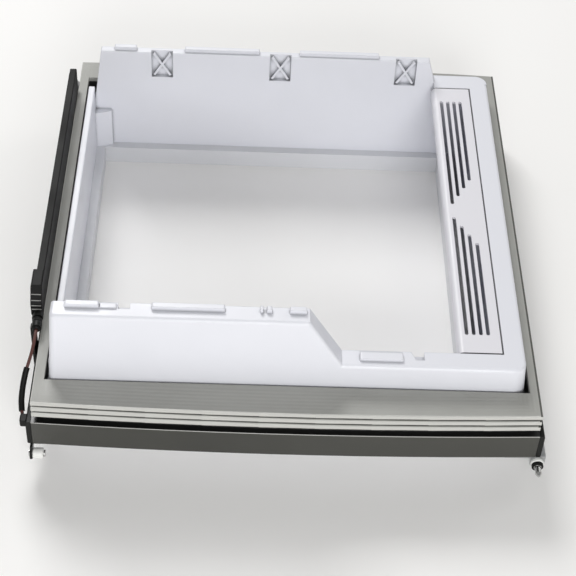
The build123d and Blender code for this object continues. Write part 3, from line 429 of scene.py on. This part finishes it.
DRESS: dict[str, Finish] = {
    "inner_liner": LINER, "duct_vent_cover": COVER, "front_frame": FRONT, "door_gasket": SEAL,
    "near_end_cap": CAP, "far_end_cap": CAP, "left_side_panel": PANEL, "right_side_panel": PANEL,
    "insulation_foam": FOAM, "mullion_insulation": FOAM, "mullion_heater": FOIL,
    "mullion_cover": BAR, "mullion_far_cap": BAR, "mullion_hinge_housing": BAR, "mullion_face_plate": PLATE,
    "mullion_near_bracket": PANEL, "roller_bracket": PANEL, "mullion_far_bracket": ZINC,
    "lower_hinge_bracket": ZINC, "upper_hinge_bracket": ZINC, "hinge_cam_collar": BAR,
    "lower_hinge_bush": ACETAL, "upper_hinge_bush": ACETAL, "support_roller": ACETAL,
    "lead_grommet": SLEEVE, "lead_plug": SLEEVE, "lead_sleeve": SLEEVE, "mullion_lead": WIRE,
    "mullion_spring": PHOSPHATE,
}


def dress(obj: bpy.types.Object, finish: Finish) -> None:
    """Give an object one finish all over."""
    obj.data.materials.clear()
    obj.data.materials.append(finish.material())


def spot(x: float, y: float, z: float) -> Vector:
    """A place in metres from offsets to the seal's middle in millimetres, and a height above the floor."""
    return Vector((SEAL_MIDDLE.x + x * MM, SEAL_MIDDLE.y + y * MM, z * MM))


def piece(
    name: str, bm: bmesh.types.BMesh, finish: Finish, stands_for: str, body: str = "frame"
) -> bpy.types.Object:
    """Turn a finished bmesh into a piece that stands for a CAD node.

    Args:
        name: the piece's name.
        bm: its geometry in the row frame, freed here.
        finish: its finish.
        stands_for: the CAD node that it takes the place of.
        body: the body that it rides on.

    Returns:
        The new object.
    """
    mesh = bpy.data.meshes.new(name)
    bm.to_mesh(mesh)
    bm.free()
    obj = bpy.data.objects.new(name, mesh)
    bpy.context.scene.collection.objects.link(obj)
    dress(obj, finish)
    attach(obj, body)
    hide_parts(stands_for)
    LOG.info("piece %s: %d faces", name, len(mesh.polygons))
    return obj


@dataclass
class TorsionSpring:
    """The flip bar's spring: round wire wound in touching coils about the hinge pin, in millimetres."""

    turns: int = 3
    wire: float = 1.7
    steps_per_turn: int = 24
    sides: int = 10

    def build(self) -> bpy.types.Object:
        """Sweep the wire's round section along the coil, within the CAD spring's own box.

        Returns:
            The spring's object.
        """
        low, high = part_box("mullion_spring")
        middle = (low + high) / 2
        wire_r = self.wire / 2 * MM
        coil_r = (high.x - low.x) / 2 - wire_r
        run = high.y - low.y - 2 * wire_r
        bm = bmesh.new()
        at_start = Matrix.Translation((middle.x + coil_r, high.y - wire_r, middle.z))
        ring = bmesh.ops.create_circle(bm, segments=self.sides, radius=wire_r, matrix=at_start)["verts"]
        edges = list({e for v in ring for e in v.link_edges})
        steps = self.turns * self.steps_per_turn
        swept = bmesh.ops.spin(
            bm, geom=ring + edges, cent=middle, axis=(0.0, 1.0, 0.0), dvec=(0.0, -run / steps, 0.0),
            angle=2 * math.pi * self.turns, steps=steps, use_merge=False)
        last = [g for g in swept["geom_last"] if isinstance(g, bmesh.types.BMEdge)]
        bmesh.ops.contextual_create(bm, geom=edges)
        bmesh.ops.contextual_create(bm, geom=last)
        bmesh.ops.recalc_face_normals(bm, faces=bm.faces)
        for face in bm.faces:
            face.smooth = len(face.verts) == 4
        return piece("torsion_spring", bm, PHOSPHATE, "mullion_spring")


@dataclass
class HingeHousing:
    """The flip bar's hinge housing, with moulded ribs across its near slope and face, in millimetres.

    The ribs carry a painted highlight.
    """

    ribs: int = 4
    first_drop: float = 7.2
    pitch: float = 4.6
    height: float = 0.9
    proud: float = 0.4
    margin: float = 0.8

    def build(self) -> bpy.types.Object:
        """Merge the ribs with a copy of the CAD housing.

        Returns:
            The housing's object.
        """
        low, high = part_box("mullion_hinge_housing")
        bm = bmesh.new()
        bm.from_mesh(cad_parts["mullion_hinge_housing"].data)
        plain = set(bm.faces)
        skin = BVHTree.FromBMesh(bm)
        size = Vector((high.x - low.x - 2 * self.margin * MM, 2 * self.proud * MM, self.height * MM))
        for rib in range(self.ribs):
            drop = self.first_drop + rib * self.pitch
            before = Vector(((low.x + high.x) / 2, low.y - self.pitch * MM, high.z - drop * MM))
            seat, outward, *_ = skin.ray_cast(before, Vector((0.0, 1.0, 0.0)))
            turn = outward.to_track_quat("-Y", "Z").to_matrix().to_4x4()
            place = Matrix.Translation(seat) @ turn @ Matrix.Diagonal((*size, 1.0))
            verts = bmesh.ops.create_cube(bm, size=1.0, matrix=place)["verts"]
            edges = list({e for v in verts for e in v.link_edges})
            bmesh.ops.bevel(bm, geom=edges, offset=self.proud * MM / 2, offset_type="OFFSET", affect="EDGES",
                            segments=2, profile=0.5, material=-1)
        painted_highlight = [number for number, face in enumerate(bm.faces) if face not in plain]
        made = piece("ribbed_hinge_housing", bm, BAR, "mullion_hinge_housing", "mullion")
        made.data.materials.append(RIB_HIGHLIGHT.material())
        for number in painted_highlight:
            made.data.polygons[number].material_index = 1
        return made


@dataclass
class ScrewSet:
    """A group of pan head screws with cross recesses and threads, in place of one CAD node, in millimetres.

    The root is a share of the shank's radius, and each point of the crown is a share of the head's radius and
    height.
    """

    name: str
    head_r: float = 4.0
    shank_r: float = 2.0
    head: float = 2.4
    pitch: float = 1.25
    recess_w: float = 0.55
    recess_l: float = 2.1
    recess_depth: float = 1.1
    point_r: float = 0.3
    point: float = 0.8
    runout: float = 1.0
    root: float = 0.8
    crown: Sequence[tuple[float, float]] = ((1.0, 0.45), (0.86, 0.86), (0.66, 1.0))
    slack: float = 0.5
    skin: float = 0.01
    weld: float = 0.001
    sides: int = 24

    def islands(self) -> list[tuple[Vector, Vector]]:
        """Find each CAD screw among the node's separate solids.

        Returns:
            The middle of each screw's head and its tip.
        """
        bm = bmesh.new()
        bm.from_mesh(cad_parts[self.name].data)
        bmesh.ops.remove_doubles(bm, verts=bm.verts, dist=self.weld * MM)
        left = set(bm.verts)
        found = []
        while left:
            grown = [left.pop()]
            for vert in grown:
                fresh = {e.other_vert(vert) for e in vert.link_edges} & left
                left -= fresh
                grown.extend(fresh)
            places = [v.co for v in grown]
            low = Vector(min(p[i] for p in places) for i in range(3))
            high = Vector(max(p[i] for p in places) for i in range(3))
            middle = (low + high) / 2
            axis = 1 if abs((high - low).x - (high - low).z) < self.slack * MM else 2
            wide = [p[axis] for p in places if (p - middle)[0] > (self.shank_r + self.slack) * MM]
            head_up = sum(wide) / len(wide) > middle[axis]
            top, tip = middle.copy(), middle.copy()
            top[axis] = (high if head_up else low)[axis]
            tip[axis] = (low if head_up else high)[axis]
            found.append((top, tip))
        bm.free()
        return found

    def screw(self, length: float) -> bmesh.types.BMesh:
        """One screw standing on its tip at the origin, head up.

        Args:
            length: from tip to the top of the head, in metres.

        Returns:
            The screw's geometry.
        """
        bm = bmesh.new()
        threads = int((length / MM - self.head - self.runout) / self.pitch)
        root_r = self.shank_r * self.root
        outline = [(self.point_r, 0.0), (root_r, self.point)]
        for turn in range(threads):
            base = self.point + turn * self.pitch
            outline += [(self.shank_r, base + self.pitch / 2), (root_r, base + self.pitch)]
        shoulder = length / MM - self.head
        outline += [(self.shank_r, shoulder), (self.head_r, shoulder)]
        outline += [(self.head_r * out, shoulder + self.head * up) for out, up in self.crown]
        verts = [bm.verts.new((r * MM, 0.0, z * MM)) for r, z in outline]
        edges = [bm.edges.new(pair) for pair in zip(verts, verts[1:])]
        bmesh.ops.spin(bm, geom=verts + edges, cent=(0, 0, 0), axis=(0, 0, 1), angle=2 * math.pi,
                       steps=self.sides, use_merge=True)
        rims = [e for e in bm.edges if e.is_boundary]
        bmesh.ops.holes_fill(bm, edges=rims, sides=self.sides)
        for cut in (self.recess_w, -self.recess_w, self.recess_l, -self.recess_l):
            for normal in ((1, 0, 0), (0, 1, 0)):
                top = [f for f in bm.faces if f.calc_center_median().z > length - self.skin * MM]
                geom = top + list({e for f in top for e in f.edges}) + list({v for f in top for v in f.verts})
                bmesh.ops.bisect_plane(bm, geom=geom, plane_co=Vector(normal) * cut * MM, plane_no=normal)
        cross = []
        for face in bm.faces:
            near = face.calc_center_median()
            narrow, wide = sorted((abs(near.x), abs(near.y)))
            on_top = near.z > length - self.skin * MM
            if on_top and narrow < self.recess_w * MM and wide < self.recess_l * MM:
                cross.append(face)
        sunk = bmesh.ops.extrude_face_region(bm, geom=cross)["geom"]
        bmesh.ops.delete(bm, geom=cross, context="FACES_ONLY")
        down = [v for v in sunk if isinstance(v, bmesh.types.BMVert)]
        bmesh.ops.translate(bm, verts=down, vec=(0, 0, -self.recess_depth * MM))
        bmesh.ops.recalc_face_normals(bm, faces=bm.faces)
        return bm

    def build(self) -> bpy.types.Object:
        """Set one screw in each place of the CAD group.

        Returns:
            The group's object.
        """
        whole = bmesh.new()
        for top, tip in self.islands():
            one = self.screw((top - tip).length)
            turn = (top - tip).to_track_quat("Z", "Y").to_matrix().to_4x4()
            bmesh.ops.transform(one, matrix=Matrix.Translation(tip) @ turn, verts=one.verts)
            spare = bpy.data.meshes.new("one_screw")
            one.to_mesh(spare)
            one.free()
            whole.from_mesh(spare)
            bpy.data.meshes.remove(spare)
        return piece(self.name + "_cut", whole, STEEL, self.name)


@dataclass
class LeadWire:
    """The flip bar's heater lead: from the hinge grommet down to the plug on the left panel, in millimetres.

    Each of the shares says how far the wire has come out to the side, along to the plug and down to it.
    """

    diameter: float = 3.0
    length: float = 90.0
    sleeve_diameter: float = 5.4
    sleeve_span: tuple[float, float] = (0.45, 0.93)
    hinge: Point = (-224.7, -162.2, 98.5)
    hold: float = 3.0
    side_x: float = -234.0
    plug: Point = (-230.8, -235.0, 57.5)
    shares: Sequence[Point] = (
        (0, 0.15, 0), (0.22, 0.34, 0.17), (0.71, 0.51, 0.42), (0.95, 0.66, 0.67), (1, 0.82, 0.89))
    round_steps: int = 4
    curve_order: int = 3
    curve_steps: int = 12

    def route(self) -> list[Vector]:
        """The wire's guiding points, as the CAD lead has them.

        Returns:
            The points from hinge to plug.
        """
        x, y, z = self.hinge
        points = [spot(x, y + self.hold, z)]
        for out, near, down in self.shares:
            points.append(spot(
                x + out * (self.side_x - x), y + near * (self.plug[1] - y), z + down * (self.plug[2] - z)))
        return points + [spot(*self.plug)]

    def lay(self, name: str, thickness: float) -> bpy.types.Object:
        """Lay a round curve on the wire's spline.

        Args:
            name: the curve's name.
            thickness: its diameter in millimetres.

        Returns:
            The curve's object.
        """
        route = self.route()
        curve = bpy.data.curves.new(name, "CURVE")
        curve.dimensions = "3D"
        curve.bevel_depth = thickness / 2 * MM
        curve.bevel_resolution = self.round_steps
        curve.use_fill_caps = True
        spline = curve.splines.new("NURBS")
        spline.points.add(len(route) - 1)
        for point, place in zip(spline.points, route):
            point.co = (*place, 1.0)
        spline.order_u = self.curve_order
        spline.use_endpoint_u = True
        spline.resolution_u = self.curve_steps
        made = bpy.data.objects.new(name, curve)
        bpy.context.scene.collection.objects.link(made)
        return made

    def sleeve(self) -> bpy.types.Object:
        """Pull the sleeve over the lower part of the wire, between the CAD sleeve's own ends.

        Returns:
            The sleeve's object.
        """
        laid = self.lay("sleeve_line", self.sleeve_diameter)
        laid.data.bevel_factor_start, laid.data.bevel_factor_end = self.sleeve_span
        seen = laid.evaluated_get(bpy.context.evaluated_depsgraph_get())
        bm = bmesh.new()
        bm.from_mesh(seen.to_mesh())
        seen.to_mesh_clear()
        bpy.data.curves.remove(laid.data)
        for face in bm.faces:
            face.smooth = len(face.verts) == 4
        return piece("lead_sleeving", bm, SLEEVE, "lead_sleeve")

    def build(self) -> None:
        """Lay the wire on its spline, with its sleeve."""
        wire = self.lay("heater_lead", self.diameter)
        dress(wire, WIRE)
        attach(wire, "frame")
        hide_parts("mullion_lead")
        self.sleeve()


@dataclass(frozen=True)
class Lamp:
    """One soft square lamp: its place, side and aim in metres and its power in watts."""

    name: str
    place: Point
    size: float
    power: float
    aim: Point = (0.0, 0.0, 0.0)

    def hang(self) -> None:
        """Hang the lamp and turn it to its aim."""
        data = bpy.data.lights.new(self.name, "AREA")
        data.size = self.size
        data.energy = self.power
        obj = bpy.data.objects.new(self.name, data)
        bpy.context.scene.collection.objects.link(obj)
        obj.location = self.place
        obj.rotation_euler = (Vector(self.aim) - Vector(self.place)).to_track_quat("-Z", "Y").to_euler()


@dataclass
class Studio:
    """Camera at the photo's angle, pale floor and soft light.

    The camera's place is in millimetres and its angles in degrees; the floor's reaches are in metres.
    """

    place: Point = (-41.9, -1118.0, 1115.6)
    lens: float = 97.44
    pitch: float = 45.0
    roll: float = 3.42
    yaw: float = 2.34
    sensor: float = 36.0
    sight: float = 20.0
    floor_reach: float = 9.0
    lit_reach: float = 0.8
    floor_colour: str = "#f8f7f5"
    far_colour: str = "#ecebe9"
    floor_roughness: float = 0.6
    surround: float = 0.31
    bounces: int = 16
    diffuse_bounces: int = 12
    lamps: Sequence[Lamp] = (
        Lamp("behind_left", (-0.6, 1.7, 2.1), 1.1, 42.0),
        Lamp("behind_right", (1.7, 0.9, 1.4), 0.9, 4.0),
        Lamp("low_front", (0.2, -2.2, 1.05), 1.0, 32.0, (0.0, 0.0, 0.1)),
    )

    def camera(self) -> None:
        """Set the camera where the photo was taken from."""
        pitch, roll, yaw = (math.radians(v) for v in (self.pitch, self.roll, self.yaw))
        forward = Vector((math.sin(yaw) * math.cos(pitch), math.cos(yaw) * math.cos(pitch), -math.sin(pitch)))
        level = Vector((math.cos(yaw), -math.sin(yaw), 0.0))
        down = forward.cross(level)
        right = math.cos(roll) * level - math.sin(roll) * down
        below = math.sin(roll) * level + math.cos(roll) * down
        data = bpy.data.cameras.new("photo_camera")
        data.lens = self.lens
        data.sensor_width = self.sensor
        data.clip_end = self.sight
        camera = bpy.data.objects.new("photo_camera", data)
        bpy.context.scene.collection.objects.link(camera)
        turned = Matrix((right, -below, -forward)).transposed().to_4x4()
        camera.matrix_world = Matrix.Translation(spot(*self.place)) @ turned
        bpy.context.scene.camera = camera

    def floor(self) -> None:
        """Lay a wide pale floor under the part, which stays pale to the eye far from the lamps."""
        bm = bmesh.new()
        bmesh.ops.create_grid(bm, x_segments=1, y_segments=1, size=self.floor_reach)
        mesh = bpy.data.meshes.new("studio_floor")
        bm.to_mesh(mesh)
        bm.free()
        obj = bpy.data.objects.new("studio_floor", mesh)
        bpy.context.scene.collection.objects.link(obj)
        made = bpy.data.materials.new("pale_floor")
        made.use_nodes = True
        tree = made.node_tree
        tree.nodes.clear()
        place = node(tree, "TexCoord").outputs["Object"]
        reach = node(tree, "VectorMath", {"0": place}, operation="LENGTH").outputs["Value"]
        far = node(tree, "MapRange", {
            "Value": reach, "From Min": self.lit_reach, "From Max": 2 * self.lit_reach})
        path = node(tree, "LightPath").outputs
        seen: Link = path["Is Camera Ray"]
        for ray in ("Is Glossy Ray", "Is Transmission Ray"):
            seen = node(tree, "Math", {"0": seen, "1": path[ray]}, operation="MAXIMUM")
        share = node(tree, "Math", {"0": far, "1": seen}, operation="MULTIPLY")
        shader = node(tree, "BsdfPrincipled", {
            "Base Color": linear(self.floor_colour), "Roughness": self.floor_roughness})
        glow = node(tree, "Emission", {"Color": linear(self.far_colour)})
        mixed = node(tree, "MixShader", {"0": share, "1": shader, "2": glow})
        node(tree, "OutputMaterial", {"Surface": mixed})
        obj.data.materials.append(made)

    def light(self) -> None:
        """Two lamps behind and above, a low one before the near end, and an even surround."""
        for lamp in self.lamps:
            lamp.hang()
        world = bpy.data.worlds.new("studio")
        world.use_nodes = True
        background = world.node_tree.nodes["Background"]
        background.inputs["Color"].default_value = linear("#ffffff")
        background.inputs["Strength"].default_value = self.surround
        bpy.context.scene.world = world

    def build(self) -> None:
        """Set up the whole studio."""
        self.camera()
        self.floor()
        self.light()
        bpy.context.scene.view_settings.view_transform = "Standard"
        bpy.context.scene.cycles.max_bounces = self.bounces
        bpy.context.scene.cycles.diffuse_bounces = self.diffuse_bounces


def dress_nodes() -> None:
    """Give every CAD node its finish."""
    for name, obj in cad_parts.items():
        finish = DRESS.get(name)
        if finish is None:
            finish = MAGNET if name.startswith("seal_magnet") else STEEL
        dress(obj, finish)


def main() -> None:
    """Build the studio and the looks."""
    logging.basicConfig(level=logging.INFO, format="%(name)s: %(message)s")
    Studio().build()
    dress_nodes()
    TorsionSpring().build()
    HingeHousing().build()
    for group in ("near_cap_screws", "far_cap_screws", "bracket_screws", "roller_screws", "hinge_screws"):
        ScrewSet(group).build()
    LeadWire().build()


if __name__ == "__main__":
    main()
